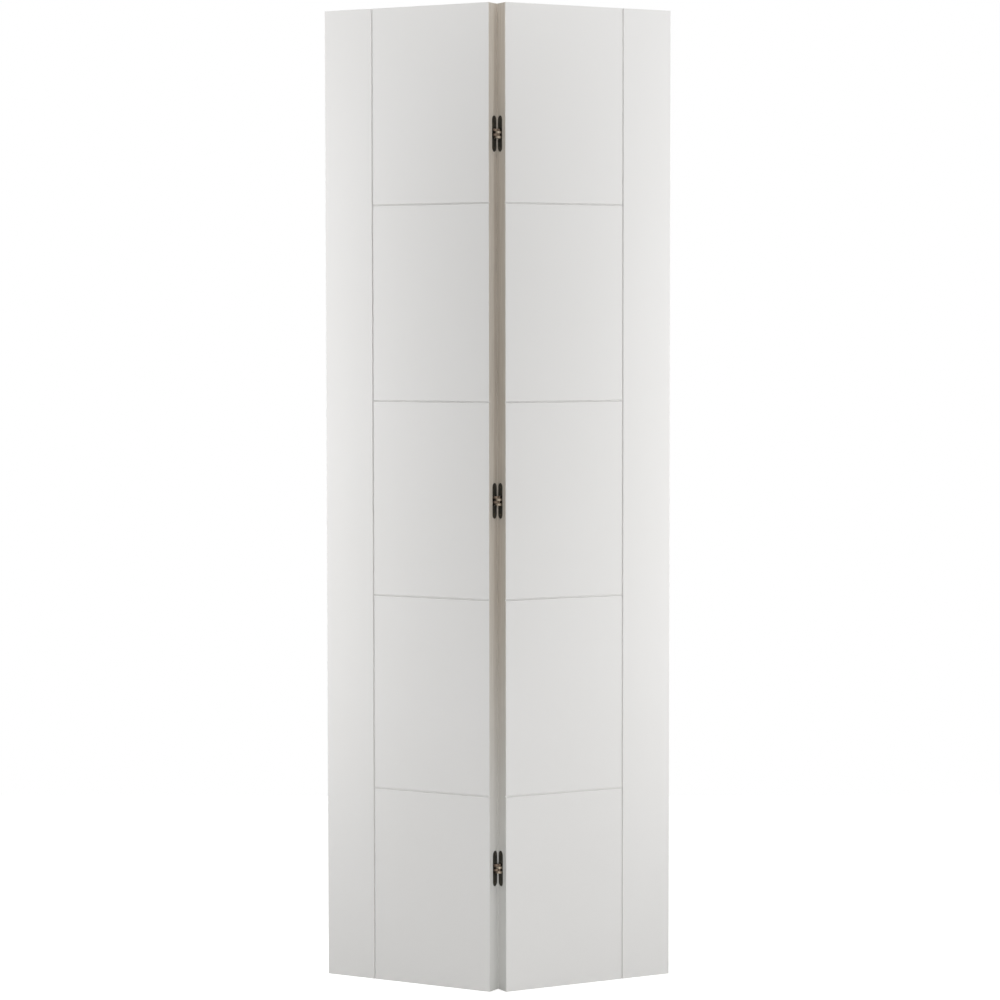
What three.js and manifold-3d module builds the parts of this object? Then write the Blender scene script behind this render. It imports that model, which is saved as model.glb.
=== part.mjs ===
// Bifold closet door: two grooved leaves joined at their meeting edges by three concealed link hinges.
// Millimetres, +Z up, front towards -Y, origin at the bounding box's bottom centre in the part-folded pose.
import * as THREE from 'three';
import { mergeVertices } from 'three/addons/utils/BufferGeometryUtils.js';
import Module from 'manifold-3d';

const wasm = await Module();
wasm.setup();

// Overall sizes of the door, opened flat
const DOOR_WIDTH = 762;
const DOOR_HEIGHT = 1981;
const LEAF_THICKNESS = 35;

// The fold: the leaves turn about one upright axis just behind their back corners
const FOLD_GAP = 0.4;
const AXIS_SETBACK = 0.15;
const LEAF_ANGLE = THREE.MathUtils.degToRad(28.1);
const FOLD_AT_REST = 2 * LEAF_ANGLE;
const FOLD_MAX = THREE.MathUtils.degToRad(175);

// Leaf construction
const SKIN_THICKNESS = 5;
const HINGE_STILE_WIDTH = 42;
const OUTER_STILE_WIDTH = 36;
const TOP_RAIL_HEIGHT = 60;
const BOTTOM_RAIL_HEIGHT = 80;
const ARRIS = 0.5;
const TOUCH_GAP = 0.3;

// Grooves that divide each face into an outer band and a column of equal panels
const GROOVE_WIDTH = 3.6;
const GROOVE_FLOOR_WIDTH = 2;
const GROOVE_DEPTH = 3;
const OUTER_BAND_WIDTH = 111.8;
const PANEL_COUNT = 5;

// Hinge bodies: a round-ended face plate with a cup behind it
const PLATE_HEIGHT = 71.5;
const PLATE_THICKNESS = 3;
const CUP_WALL = 0.9;
const CUP_END_WALL = 3.5;
const CUP_FLOOR = 1.6;
const TOP_HINGE_FROM_TOP = 258;
const BOTTOM_HINGE_FROM_BOTTOM = 247.5;

// Hinge links: bent bars on four levels, pinned at one end and sliding at the other
const PIVOT_DEPTH = 3;
const PIVOT_FROM_BACK = 6.6;
const LINK_ARM = 10.8;
const SLIDER_ARM = 14.8;
const LINK_BEND_RADIUS = 9.2;
const LINK_HALF_WIDTH = 2.1;
const LINK_HUB = 0.6;
const LINK_THICKNESS = 4.4;
const LINK_LEVELS = 4;
const LINK_SPACING = 0.45;
const LINK_CLEARANCE = 0.3;
const WINDOW_MARGIN = 1.2;
const LINK_RATIO = 0.53;

// Pins
const PIN_RADIUS = 1;
const CENTRE_PIN_RADIUS = 0.8;
const PIN_FIT = 0.28;
const SLOT_FIT = 0.3;
const SLIDER_SLOT_DEPTH = 2.4;
const PIN_END_GAP = 0.3;

// Screws
const SCREW_FROM_CENTRE = 28;
const SCREW_LENGTH = 22;
const SCREW_RADIUS = 1.6;
const SCREW_HEAD_RADIUS = 3.6;
const SCREW_HEAD_HEIGHT = 2.2;
const SCREW_POINT = 4;
const SCREW_SINK = 0.2;

// Cutters run this far past the faces that they break through
const OVERRUN = 1;

// Facets of the round shapes
const PIN_SIDES = 12;
const SLOT_SIDES = 20;
const PLATE_END_STEPS = 9;
const END_STEPS = 6;
const BEND_STEPS = 9;
const PATH_STEPS = 17;
const SWEEP_STEPS = 48;

// Sizes that follow from the ones above
const LEAF_WIDTH = (DOOR_WIDTH - FOLD_GAP) / 2;
const PANEL_HEIGHT = DOOR_HEIGHT / PANEL_COUNT;
const FRAME_THICKNESS = LEAF_THICKNESS - 2 * SKIN_THICKNESS - 2 * TOUCH_GAP;
const FRAME_FROM_BACK = SKIN_THICKNESS + TOUCH_GAP;
const LINK_PITCH = LINK_THICKNESS + LINK_SPACING;
const STACK_HEIGHT = LINK_LEVELS * LINK_PITCH - LINK_SPACING;
const WINDOW_HEIGHT = STACK_HEIGHT + 2 * WINDOW_MARGIN;
const CUP_HEIGHT = WINDOW_HEIGHT + 2 * CUP_END_WALL;
const HINGE_HEIGHTS = {
  top: DOOR_HEIGHT - TOP_HINGE_FROM_TOP,
  middle: DOOR_HEIGHT / 2,
  bottom: BOTTOM_HINGE_FROM_BOTTOM,
};

// Materials
const paint = new THREE.MeshStandardMaterial({ color: 0xe8e7e5, roughness: 0.55, metalness: 0 });
const edgePaint = new THREE.MeshStandardMaterial({ color: 0xdcd6ca, roughness: 0.65, metalness: 0 });
const coreBoard = new THREE.MeshStandardMaterial({ color: 0xc9ab7c, roughness: 0.9, metalness: 0 });
const bronze = new THREE.MeshStandardMaterial({ color: 0x3a352d, roughness: 0.45, metalness: 0.85 });
const linkBrass = new THREE.MeshStandardMaterial({ color: 0xa8916a, roughness: 0.35, metalness: 0.9 });
const pinSteel = new THREE.MeshStandardMaterial({ color: 0x9a978f, roughness: 0.3, metalness: 0.95 });

// Solids: closed geometry to manifold and back

function solid(geometry) {
  const bare = geometry.clone();
  bare.deleteAttribute('normal');
  bare.deleteAttribute('uv');
  const merged = mergeVertices(bare);
  return new wasm.Manifold(new wasm.Mesh({
    numProp: 3,
    vertProperties: new Float32Array(merged.attributes.position.array),
    triVerts: new Uint32Array(merged.index.array),
  }));
}

function geometryOf(manifold) {
  const mesh = manifold.getMesh();
  const geometry = new THREE.BufferGeometry();
  geometry.setAttribute('position', new THREE.BufferAttribute(new Float32Array(mesh.vertProperties), 3));
  geometry.setIndex(Array.from(mesh.triVerts));
  geometry.computeVertexNormals();
  return geometry;
}

function cut(geometry, cutters) {
  return geometryOf(cutters.reduce((left, cutter) => left.subtract(solid(cutter)), solid(geometry)));
}

// Shapes in a leaf's plan: u runs into the leaf from its meeting edge, v from its back face to its front.
// The lead leaf is the mirror image of the pivot leaf, so side is 1 or -1 and turns v into y.

function planPrism(points, side, bottom, height) {
  const shape = new THREE.Shape(points.map(([u, v]) => new THREE.Vector2(u, side * v)));
  return new THREE.ExtrudeGeometry(shape, { depth: height, bevelEnabled: false }).translate(0, 0, bottom);
}

// A shape drawn in the plane of the meeting edge (v, z) and extruded into the leaf
const EDGE_PLANE = new THREE.Matrix4().makeBasis(
  new THREE.Vector3(0, 1, 0),
  new THREE.Vector3(0, 0, 1),
  new THREE.Vector3(1, 0, 0),
);

function edgePrism(points, side, start, depth) {
  const shape = new THREE.Shape(points.map(([v, z]) => new THREE.Vector2(side * v, z)));
  const geometry = new THREE.ExtrudeGeometry(shape, { depth, bevelEnabled: false });
  return geometry.applyMatrix4(EDGE_PLANE).translate(start, 0, 0);
}

function rectangle(x, y, width, height) {
  return [[x, y], [x + width, y], [x + width, y + height], [x, y + height]];
}

function arc(centre, radius, from, to, steps) {
  return Array.from({ length: steps + 1 }, (_, i) => {
    const angle = from + (to - from) * i / steps;
    return [centre[0] + radius * Math.cos(angle), centre[1] + radius * Math.sin(angle)];
  });
}

function stadium(centreX, halfWidth, halfHeight) {
  const straight = halfHeight - halfWidth;
  return [
    ...arc([centreX, straight], halfWidth, 0, Math.PI, PLATE_END_STEPS),
    ...arc([centreX, -straight], halfWidth, Math.PI, 2 * Math.PI, PLATE_END_STEPS),
  ];
}

// The outline of a round cutter that travels along a path, whole where the path turns back on itself
function sweptOutline(path, radius) {
  const rounds = path.map((point) => wasm.CrossSection.circle(radius, SLOT_SIDES).translate(point));
  const strides = rounds.slice(1).map((round, i) => wasm.CrossSection.hull([rounds[i], round]));
  return wasm.CrossSection.union(strides).toPolygons()[0];
}

function uprightCylinder(radius, bottom, height) {
  return new THREE.CylinderGeometry(radius, radius, height, PIN_SIDES)
    .rotateX(Math.PI / 2)
    .translate(0, 0, bottom + height / 2);
}

// Hinge motion, in the pivot leaf's plan with the fold axis at zero

const PIVOT = [PIVOT_DEPTH + FOLD_GAP / 2, PIVOT_FROM_BACK + AXIS_SETBACK];

function turned([x, y], angle) {
  return [x * Math.cos(angle) - y * Math.sin(angle), x * Math.sin(angle) + y * Math.cos(angle)];
}

// The link's angle at rest puts its centre hole on the plane that bisects the fold
function linkAngleAtRest() {
  const bisector = [-Math.sin(LEAF_ANGLE), Math.cos(LEAF_ANGLE)];
  const along = PIVOT[0] * bisector[0] + PIVOT[1] * bisector[1];
  const reach = along + Math.sqrt(along ** 2 + LINK_ARM ** 2 - PIVOT[0] ** 2 - PIVOT[1] ** 2);
  return Math.atan2(reach * bisector[1] - PIVOT[1], reach * bisector[0] - PIVOT[0]);
}

const LINK_ANGLE = linkAngleAtRest();

function linkAngle(fold) {
  return LINK_ANGLE + LINK_RATIO * (fold - FOLD_AT_REST);
}

// How far a point of the plan lies on this leaf's side of the plane that bisects the fold
function fromBisector([u, v], fold) {
  return u * Math.cos(fold / 2) + v * Math.sin(fold / 2);
}

// Mirrors a point of the plan in the bisecting plane
function across([u, v], fold) {
  const step = 2 * fromBisector([u, v], fold);
  return [u - step * Math.cos(fold / 2), v - step * Math.sin(fold / 2)];
}

// Where a point of one leaf's link lies in the other leaf's plan
function fromOtherLeaf(point, fold) {
  const [u, v] = turned(point, linkAngle(fold));
  return across([PIVOT[0] + u, PIVOT[1] + v], fold);
}

// The link's own plan: pivot at zero, centre hole on the x axis, the bend's centre on the +y side
const BEND_CENTRE = [LINK_ARM / 2, Math.sqrt(LINK_BEND_RADIUS ** 2 - (LINK_ARM / 2) ** 2)];
const BEND_START = Math.atan2(-BEND_CENTRE[1], -BEND_CENTRE[0]);
const BEND_MIDDLE = BEND_START + 2 * Math.asin(LINK_ARM / 2 / LINK_BEND_RADIUS);
const BEND_END = BEND_MIDDLE + 2 * Math.asin(SLIDER_ARM / 2 / LINK_BEND_RADIUS);
const CENTRE_HOLE = [LINK_ARM, 0];
const SLIDER_HOLE = arc(BEND_CENTRE, LINK_BEND_RADIUS, BEND_START, BEND_END, 1)[1];

function bendBand(inner, outer, from, to, steps = BEND_STEPS) {
  const middle = (inner + outer) / 2;
  const half = (outer - inner) / 2;
  const start = arc(BEND_CENTRE, middle, from, to, 1)[0];
  const end = arc(BEND_CENTRE, middle, from, to, 1)[1];
  return [
    ...arc(BEND_CENTRE, outer, from, to, steps),
    ...arc(end, half, to, to + Math.PI, END_STEPS).slice(1, -1),
    ...arc(BEND_CENTRE, inner, to, from, steps),
    ...arc(start, half, from + Math.PI, from + 2 * Math.PI, END_STEPS).slice(1, -1),
  ];
}

function pinHole(centre, radius, side) {
  const outline = arc(centre, radius, 0, 2 * Math.PI, PIN_SIDES).slice(1);
  return planPrism(outline, side, -OVERRUN, LINK_THICKNESS + 2 * OVERRUN);
}

// The pivot leaf's links carry the centre pin. The lead leaf's links pass it with a slot along its path.
function centrePinPath() {
  const path = [];
  for (let i = 0; i <= PATH_STEPS; i += 1) {
    const fold = FOLD_MAX * i / PATH_STEPS;
    const [u, v] = fromOtherLeaf(CENTRE_HOLE, fold);
    const point = turned([u - PIVOT[0], v - PIVOT[1]], -linkAngle(fold));
    const previous = path[path.length - 1];
    if (previous && point[0] < previous[0]) break;
    path.push(point);
  }
  return path;
}

const LINK_INNER = LINK_BEND_RADIUS - LINK_HALF_WIDTH;
const LINK_OUTER = LINK_BEND_RADIUS + LINK_HALF_WIDTH;

function link(side) {
  const band = planPrism(bendBand(LINK_INNER, LINK_OUTER, BEND_START, BEND_END), side, 0, LINK_THICKNESS);
  const hubReach = 2 * LINK_HALF_WIDTH / LINK_BEND_RADIUS;
  const hubFrom = BEND_MIDDLE - hubReach / 2;
  const hub = bendBand(LINK_INNER - LINK_HUB, LINK_OUTER, hubFrom, hubFrom + hubReach);
  const body = solid(band).add(solid(planPrism(hub, side, 0, LINK_THICKNESS)));
  const slot = sweptOutline(centrePinPath(), CENTRE_PIN_RADIUS + SLOT_FIT);
  const centre = side > 0
    ? pinHole(CENTRE_HOLE, CENTRE_PIN_RADIUS + PIN_FIT, side)
    : planPrism(slot, side, -OVERRUN, LINK_THICKNESS + 2 * OVERRUN);
  const ends = [[0, 0], SLIDER_HOLE].map((hole) => pinHole(hole, PIN_RADIUS + PIN_FIT, side));
  return geometryOf([centre, ...ends].reduce((left, cutter) => left.subtract(solid(cutter)), body));
}

// The space that all links sweep inside one leaf over the whole fold: a band of v and a depth u
function linkReach() {
  const outline = bendBand(LINK_INNER, LINK_OUTER, BEND_START, BEND_END, SWEEP_STEPS);
  const folds = Array.from({ length: SWEEP_STEPS + 1 }, (_, i) => FOLD_MAX * i / SWEEP_STEPS);
  const inside = folds.flatMap((fold) => outline.flatMap((point) => {
    const [u, v] = turned(point, linkAngle(fold));
    const places = [[PIVOT[0] + u, PIVOT[1] + v], fromOtherLeaf(point, fold)];
    return places.filter((place) => place[0] > FOLD_GAP / 2 && fromBisector(place, fold) > 0);
  }));
  return {
    low: inside.reduce((least, place) => Math.min(least, place[1]), Infinity) - AXIS_SETBACK,
    high: inside.reduce((most, place) => Math.max(most, place[1]), 0) - AXIS_SETBACK,
    depth: inside.reduce((most, place) => Math.max(most, place[0]), 0) - FOLD_GAP / 2,
  };
}

// Hinge bodies: the window clears the links' reach, and the cup and the plate are built round the window

const LINK_REACH = linkReach();
const WINDOW_FROM_BACK = LINK_REACH.low - LINK_CLEARANCE;
const WINDOW_WIDTH = LINK_REACH.high + LINK_CLEARANCE - WINDOW_FROM_BACK;
const WINDOW_DEPTH = LINK_REACH.depth + LINK_CLEARANCE;
const CUP_DEPTH = WINDOW_DEPTH + CUP_FLOOR;
const PLATE_FROM_BACK = WINDOW_FROM_BACK - CUP_WALL;
const PLATE_WIDTH = WINDOW_WIDTH + 2 * CUP_WALL;
const PLATE_CENTRE = PLATE_FROM_BACK + PLATE_WIDTH / 2;

function sliderSlot(side) {
  const path = Array.from({ length: PATH_STEPS + 1 }, (_, i) => {
    const [u, v] = fromOtherLeaf(SLIDER_HOLE, FOLD_MAX * i / PATH_STEPS);
    return [u - FOLD_GAP / 2, v - AXIS_SETBACK];
  });
  const height = WINDOW_HEIGHT + 2 * SLIDER_SLOT_DEPTH;
  return planPrism(sweptOutline(path, PIN_RADIUS + SLOT_FIT), side, -height / 2, height);
}

function screwHole(side, height) {
  const hole = arc([PLATE_CENTRE, height], SCREW_RADIUS + PIN_FIT, 0, 2 * Math.PI, PIN_SIDES).slice(1);
  const top = SCREW_HEAD_RADIUS + PIN_FIT;
  const profile = [
    new THREE.Vector2(0, -OVERRUN),
    new THREE.Vector2(top, -OVERRUN),
    new THREE.Vector2(top, SCREW_SINK),
    new THREE.Vector2(SCREW_RADIUS + PIN_FIT, SCREW_SINK + SCREW_HEAD_HEIGHT),
    new THREE.Vector2(0, SCREW_SINK + SCREW_HEAD_HEIGHT),
  ];
  const sink = new THREE.LatheGeometry(profile, PIN_SIDES).rotateZ(-Math.PI / 2);
  sink.translate(0, side * PLATE_CENTRE, height);
  return [sink, edgePrism(hole, side, -OVERRUN, PLATE_THICKNESS + 2 * OVERRUN)];
}

function hingeBody(side) {
  const plate = edgePrism(stadium(PLATE_CENTRE, PLATE_WIDTH / 2, PLATE_HEIGHT / 2), side, 0, PLATE_THICKNESS);
  const cupFace = rectangle(PLATE_FROM_BACK, -CUP_HEIGHT / 2, PLATE_WIDTH, CUP_HEIGHT);
  const windowFace = rectangle(WINDOW_FROM_BACK, -WINDOW_HEIGHT / 2, WINDOW_WIDTH, WINDOW_HEIGHT);
  const bore = uprightCylinder(PIN_RADIUS + PIN_FIT, -CUP_HEIGHT / 2 - OVERRUN, CUP_HEIGHT + 2 * OVERRUN);
  const cutters = [
    edgePrism(windowFace, side, -OVERRUN, OVERRUN + WINDOW_DEPTH),
    sliderSlot(side),
    bore.translate(PIVOT_DEPTH, side * PIVOT_FROM_BACK, 0),
    ...screwHole(side, SCREW_FROM_CENTRE),
    ...screwHole(side, -SCREW_FROM_CENTRE),
  ];
  const body = solid(plate).add(solid(edgePrism(cupFace, side, 0, CUP_DEPTH)));
  return geometryOf(cutters.reduce((left, cutter) => left.subtract(solid(cutter)), body));
}

function screw() {
  const profile = [
    new THREE.Vector2(0, SCREW_SINK),
    new THREE.Vector2(SCREW_HEAD_RADIUS, SCREW_SINK),
    new THREE.Vector2(SCREW_RADIUS, SCREW_SINK + SCREW_HEAD_HEIGHT),
    new THREE.Vector2(SCREW_RADIUS, SCREW_LENGTH - SCREW_POINT),
    new THREE.Vector2(0, SCREW_LENGTH),
  ];
  return new THREE.LatheGeometry(profile, PIN_SIDES).rotateZ(-Math.PI / 2);
}

// Leaf pieces

// The back skin keeps a square meeting corner, because that corner lies next to the fold axis
function skinOutline(isFront) {
  const meetingCorner = isFront
    ? [[ARRIS, SKIN_THICKNESS], [0, SKIN_THICKNESS - ARRIS]]
    : [[0, SKIN_THICKNESS]];
  return [
    [0, 0],
    [LEAF_WIDTH, 0],
    [LEAF_WIDTH, SKIN_THICKNESS - ARRIS],
    [LEAF_WIDTH - ARRIS, SKIN_THICKNESS],
    ...meetingCorner,
  ];
}

// A groove's section: across is the distance over the face, depth is measured down from the face
function grooveSection(across) {
  const floor = GROOVE_FLOOR_WIDTH / 2;
  const mouth = GROOVE_WIDTH / 2 + (GROOVE_WIDTH / 2 - floor) * OVERRUN / GROOVE_DEPTH;
  return [
    [across - floor, SKIN_THICKNESS - GROOVE_DEPTH],
    [across + floor, SKIN_THICKNESS - GROOVE_DEPTH],
    [across + mouth, SKIN_THICKNESS + OVERRUN],
    [across - mouth, SKIN_THICKNESS + OVERRUN],
  ];
}

function grooveCutters() {
  const grooveAt = LEAF_WIDTH - OUTER_BAND_WIDTH;
  const upright = planPrism(grooveSection(grooveAt), 1, -OVERRUN, DOOR_HEIGHT + 2 * OVERRUN);
  const cross = Array.from({ length: PANEL_COUNT - 1 }, (_, i) => {
    const section = grooveSection((i + 1) * PANEL_HEIGHT).map(([z, v]) => [v, z]);
    return edgePrism(section, 1, -OVERRUN, grooveAt + OVERRUN);
  });
  return [upright, ...cross];
}

// The skin is made as a front skin; a back skin is the same board turned over in v
function skin(side, isFront) {
  const board = cut(planPrism(skinOutline(isFront), 1, 0, DOOR_HEIGHT), grooveCutters());
  const outward = isFront ? side : -side;
  const base = isFront ? side * (LEAF_THICKNESS - SKIN_THICKNESS) : side * SKIN_THICKNESS;
  return mirrored(board, outward).translate(0, base, 0);
}

// Mirrors a geometry in y where sign is -1, and turns its faces to point outwards again
function mirrored(geometry, sign) {
  if (sign > 0) return geometry;
  const flipped = geometry.clone().scale(1, sign, 1);
  const index = flipped.index.array;
  for (let i = 0; i < index.length; i += 3) [index[i], index[i + 1]] = [index[i + 1], index[i]];
  flipped.computeVertexNormals();
  return flipped;
}

function frameBar(side, from, width, bottom, height) {
  return planPrism(rectangle(from, FRAME_FROM_BACK, width, FRAME_THICKNESS), side, bottom, height);
}

// The mortise for one hinge body: a recess for the plate, a pocket for the cup and two pilot holes
function mortise(side, height) {
  const plate = stadium(PLATE_CENTRE, PLATE_WIDTH / 2 + TOUCH_GAP, PLATE_HEIGHT / 2 + TOUCH_GAP);
  const cupWidth = PLATE_WIDTH + 2 * TOUCH_GAP;
  const cupHeight = CUP_HEIGHT + 2 * TOUCH_GAP;
  const pocket = rectangle(PLATE_FROM_BACK - TOUCH_GAP, -cupHeight / 2, cupWidth, cupHeight);
  const pilots = [SCREW_FROM_CENTRE, -SCREW_FROM_CENTRE].map((z) => {
    const hole = arc([PLATE_CENTRE, z], SCREW_RADIUS + TOUCH_GAP, 0, 2 * Math.PI, PIN_SIDES).slice(1);
    return edgePrism(hole, side, 0, SCREW_LENGTH + TOUCH_GAP);
  });
  const recess = edgePrism(plate, side, -OVERRUN, OVERRUN + PLATE_THICKNESS + TOUCH_GAP);
  const deep = edgePrism(pocket, side, -OVERRUN, OVERRUN + CUP_DEPTH + TOUCH_GAP);
  return [recess, deep, ...pilots].map((cutter) => cutter.translate(0, 0, height));
}

function leafPieces(side) {
  const mortises = Object.values(HINGE_HEIGHTS).flatMap((height) => mortise(side, height));
  const railFrom = HINGE_STILE_WIDTH + TOUCH_GAP;
  const outerFrom = LEAF_WIDTH - OUTER_STILE_WIDTH;
  const railWidth = outerFrom - TOUCH_GAP - railFrom;
  const coreBottom = BOTTOM_RAIL_HEIGHT + TOUCH_GAP;
  const coreHeight = DOOR_HEIGHT - BOTTOM_RAIL_HEIGHT - TOP_RAIL_HEIGHT - 2 * TOUCH_GAP;
  const topRailFrom = DOOR_HEIGHT - TOP_RAIL_HEIGHT;
  return [
    ['front_skin', skin(side, true), paint],
    ['back_skin', cut(skin(side, false), mortises), paint],
    ['hinge_stile', cut(frameBar(side, 0, HINGE_STILE_WIDTH, 0, DOOR_HEIGHT), mortises), edgePaint],
    ['outer_stile', frameBar(side, outerFrom, OUTER_STILE_WIDTH, 0, DOOR_HEIGHT), edgePaint],
    ['top_rail', frameBar(side, railFrom, railWidth, topRailFrom, TOP_RAIL_HEIGHT), edgePaint],
    ['bottom_rail', frameBar(side, railFrom, railWidth, 0, BOTTOM_RAIL_HEIGHT), edgePaint],
    ['core', frameBar(side, railFrom, railWidth, coreBottom, coreHeight), coreBoard],
  ];
}

// Assembly

function mesh(name, geometry, material, parent) {
  const piece = new THREE.Mesh(geometry, material);
  piece.name = name;
  parent.add(piece);
  return piece;
}

// A leaf's group stands on the fold axis and is turned out of the flat plane. Its inner group starts at the
// leaf's back corner.
function leafGroup(side) {
  const swing = new THREE.Group();
  swing.rotation.z = side > 0 ? Math.PI - LEAF_ANGLE : LEAF_ANGLE;
  const corner = new THREE.Group();
  corner.position.set(FOLD_GAP / 2, side * AXIS_SETBACK, 0);
  swing.add(corner);
  return { swing, corner };
}

// The carrier of one leaf's two links and slider pin: its origin is the pivot pin
function linkGroup(side, height, corner) {
  const group = new THREE.Group();
  group.position.set(PIVOT_DEPTH, side * PIVOT_FROM_BACK, height);
  group.rotation.z = side * LINK_ANGLE;
  corner.add(group);
  return group;
}

// The shapes of one hinge half, shared by the three hinges
function hingeShapes(side) {
  const pivotLength = CUP_HEIGHT - 2 * PIN_END_GAP;
  const sliderLength = WINDOW_HEIGHT + 2 * (SLIDER_SLOT_DEPTH - PIN_END_GAP);
  return {
    body: hingeBody(side),
    link: link(side),
    screw: screw(),
    pivotPin: uprightCylinder(PIN_RADIUS, -pivotLength / 2, pivotLength),
    sliderPin: uprightCylinder(PIN_RADIUS, -sliderLength / 2, sliderLength),
    centrePin: uprightCylinder(CENTRE_PIN_RADIUS, -STACK_HEIGHT / 2, STACK_HEIGHT),
  };
}

function addHinge(name, height, side, corner, shapes) {
  const own = side > 0 ? 'left' : 'right';
  mesh(`${name}_${own}_body`, shapes.body, bronze, corner).position.z = height;
  for (const [place, z] of [['upper', SCREW_FROM_CENTRE], ['lower', -SCREW_FROM_CENTRE]]) {
    mesh(`${name}_${own}_${place}_screw`, shapes.screw, bronze, corner)
      .position.set(0, side * PLATE_CENTRE, height + z);
  }
  mesh(`${name}_${own}_pivot_pin`, shapes.pivotPin, pinSteel, corner)
    .position.set(PIVOT_DEPTH, side * PIVOT_FROM_BACK, height);

  const links = linkGroup(side, height, corner);
  const upperBottom = (side > 0 ? 0 : LINK_PITCH) + LINK_SPACING / 2;
  mesh(`${name}_${own}_upper_link`, shapes.link, linkBrass, links).position.z = upperBottom;
  mesh(`${name}_${own}_lower_link`, shapes.link, linkBrass, links).position.z = upperBottom - 2 * LINK_PITCH;
  mesh(`${name}_${own}_slider_pin`, shapes.sliderPin, pinSteel, links)
    .position.set(SLIDER_HOLE[0], side * SLIDER_HOLE[1], 0);
  if (side > 0) {
    mesh(`${name}_centre_pin`, shapes.centrePin, pinSteel, links)
      .position.set(CENTRE_HOLE[0], CENTRE_HOLE[1], 0);
  }
}

function bifoldDoor() {
  const door = new THREE.Group();
  // The back-most and front-most corners, as measured from the fold axis, add up to this
  const depthSum = (FOLD_GAP + LEAF_WIDTH) * Math.sin(LEAF_ANGLE)
    - (2 * AXIS_SETBACK + LEAF_THICKNESS) * Math.cos(LEAF_ANGLE);
  door.position.y = -depthSum / 2;
  for (const [leafName, side] of [['pivot_leaf', 1], ['lead_leaf', -1]]) {
    const { swing, corner } = leafGroup(side);
    door.add(swing);
    for (const [piece, geometry, material] of leafPieces(side)) {
      mesh(`${leafName}_${piece}`, geometry, material, corner);
    }
    const shapes = hingeShapes(side);
    for (const [name, height] of Object.entries(HINGE_HEIGHTS)) {
      addHinge(`${name}_hinge`, height, side, corner, shapes);
    }
  }
  return door;
}

export default bifoldDoor();
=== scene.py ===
"""Bifold closet door, part folded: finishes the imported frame's pieces and sets up the studio round them.

Every object is in metres in the frame's own coordinates. The sizes below are in millimetres, as a joiner
reads them, unless their names say metres.
"""

from __future__ import annotations

import logging
import math
from dataclasses import dataclass, field
from enum import Enum
from typing import Any, Callable, Iterable

import bmesh
import bpy
from mathutils import Matrix, Vector

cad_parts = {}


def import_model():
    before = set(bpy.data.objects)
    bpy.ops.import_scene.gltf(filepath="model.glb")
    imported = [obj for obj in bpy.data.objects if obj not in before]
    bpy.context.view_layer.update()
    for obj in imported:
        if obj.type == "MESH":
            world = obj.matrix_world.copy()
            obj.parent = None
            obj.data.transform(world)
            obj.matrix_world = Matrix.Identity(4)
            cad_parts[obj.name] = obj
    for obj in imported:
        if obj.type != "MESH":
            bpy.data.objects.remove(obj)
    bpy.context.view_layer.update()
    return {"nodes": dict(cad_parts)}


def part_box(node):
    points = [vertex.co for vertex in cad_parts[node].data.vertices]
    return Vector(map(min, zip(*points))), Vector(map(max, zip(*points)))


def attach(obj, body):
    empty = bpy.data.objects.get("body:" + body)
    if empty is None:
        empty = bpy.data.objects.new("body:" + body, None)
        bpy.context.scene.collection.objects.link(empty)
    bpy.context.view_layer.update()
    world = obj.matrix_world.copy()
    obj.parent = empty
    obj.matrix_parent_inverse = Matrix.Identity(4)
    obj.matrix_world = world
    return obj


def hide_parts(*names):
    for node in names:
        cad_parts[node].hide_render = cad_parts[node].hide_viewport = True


LOG = logging.getLogger("bifold_door")
MM = 0.001
# A copied frame mesh brings this attribute, which no longer fits once its edges are rounded
CARRIED_NORMALS = "custom_normal"
# A copied frame mesh is loose triangles, joined within this distance and made whole faces below this angle
JOIN_MM = 0.002
COPLANAR_ANGLE = math.radians(0.5)
# Edges that turn more than this are arrises and may be rounded, flatter ones are facets of a curve
ARRIS_ANGLE = math.radians(25)
# Edges of a smooth piece that turn more than this stay sharp to the eye
CREASE_ANGLE = math.radians(50)
WHITE = "FFFFFF"


class LeafSide(Enum):
    """The two leaves, the one on the wall pivot and the one that leads along the track."""

    PIVOT = ("pivot_leaf", "left", "left_arms", 1)
    LEAD = ("lead_leaf", "right", "right_arms", -1)

    def __init__(self, body: str, own: str, arms: str, sign: int) -> None:
        """Stores the member's names and sign.

        Args:
            body: The leaf's body in the frame.
            own: The leaf's word in the names of the hinges' nodes.
            arms: The body of the arms that are pinned in this leaf.
            sign: 1 for the leaf on the left, -1 for its mirror image.
        """
        self.body = body
        self.own = own
        self.arms = arms
        self.sign = sign


class HingePlace(Enum):
    """The three hinges of the fold."""

    TOP = "top_hinge"
    MIDDLE = "middle_hinge"
    BOTTOM = "bottom_hinge"


def linear(hex_colour: str) -> tuple[float, float, float, float]:
    """Turns an sRGB hex colour into the linear colour that the shaders take.

    Args:
        hex_colour: Six hex digits, such as "E8E6E2".

    Returns:
        Red, green, blue and an alpha of 1.
    """
    shares = [int(hex_colour[i : i + 2], 16) / 255 for i in (0, 2, 4)]
    red, green, blue = (s / 12.92 if s <= 0.04045 else ((s + 0.055) / 1.055) ** 2.4 for s in shares)
    return red, green, blue, 1.0


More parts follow.
